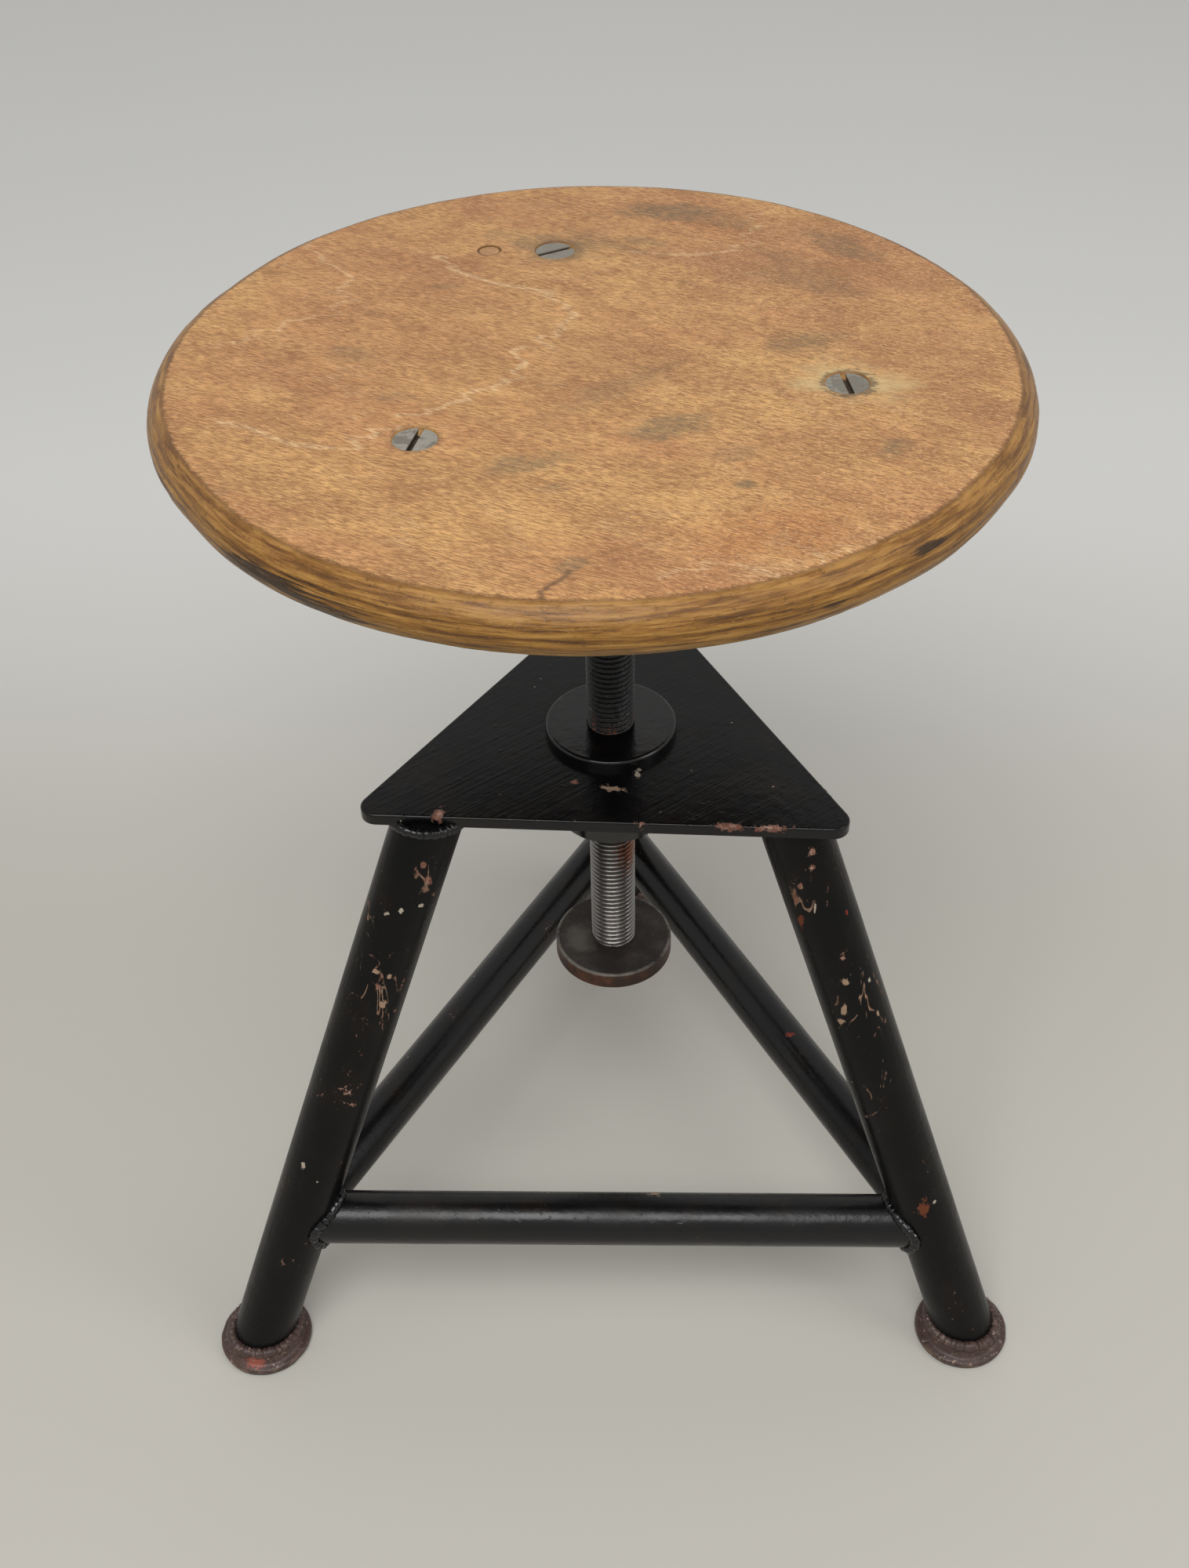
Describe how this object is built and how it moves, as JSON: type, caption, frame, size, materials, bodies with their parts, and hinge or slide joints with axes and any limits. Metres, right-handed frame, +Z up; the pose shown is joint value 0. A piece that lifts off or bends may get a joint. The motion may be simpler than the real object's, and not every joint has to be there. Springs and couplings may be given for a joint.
{
  "type": "machinist stool",
  "caption": "Low workshop stool: round plywood seat on a threaded spindle that turns in a flanged nut on a welded tube tripod with low stretchers and a stop disc.",
  "frame": {"origin": "on the floor, at the middle of the stool's footprint and height box; the spindle axis stands 38 mm in front of it", "axes": "+Z up along the spindle, -Y to the front between the two front legs, +X to the right as seen from the front"},
  "size_m": [0.4497, 0.454, 0.556],
  "materials": {
    "seat_wood": "worn varnished plywood",
    "black_enamel": "glossy brushed black enamel, chipped",
    "bare_steel": "bare machined steel, oily",
    "screw_steel": "dull zinc",
    "worn_steel": "dark worn steel with a rusty edge",
    "foot_paint": "worn pinkish brown paint, rusty"
  },
  "bodies": {
    "frame": {"base_plate": "black_enamel", "spindle_nut": "black_enamel", "nut_weld": "black_enamel", "leg_front_left": "black_enamel", "leg_front_right": "black_enamel", "leg_rear": "black_enamel", "stretcher_front": "black_enamel", "stretcher_left": "black_enamel", "stretcher_right": "black_enamel", "foot_front_left": "foot_paint", "foot_front_right": "foot_paint", "foot_rear": "foot_paint", "leg_welds": "black_enamel", "foot_welds": "black_enamel", "stretcher_welds": "black_enamel"},
    "stop": {"stop_disc": "worn_steel"},
    "seat": {"seat_board": "seat_wood", "seat_plug": "seat_wood", "seat_screws": "screw_steel", "seat_washers": "screw_steel", "seat_nuts": "screw_steel", "seat_plate": "black_enamel", "seat_hub": "black_enamel", "hub_weld": "black_enamel", "hub_pin": "bare_steel", "spindle": "bare_steel", "keeper_washer": "screw_steel", "keeper_screw": "screw_steel"}
  },
  "joints": [
    {"name": "spindle_rise", "type": "slide", "parent": "frame", "child": "stop", "axis": [0, 0, 1], "range_m": [-0.15, 0.093]},
    {"name": "seat_turn", "type": "hinge", "parent": "stop", "child": "seat", "pos_m": [0, -0.038, 0.206], "axis": [0, 0, 1], "range_deg": [-18000, 11160]}
  ],
  "couplings": [
    {"joint": "spindle_rise", "follows": "seat_turn", "m_per_rad": 0.00047746}
  ]
}
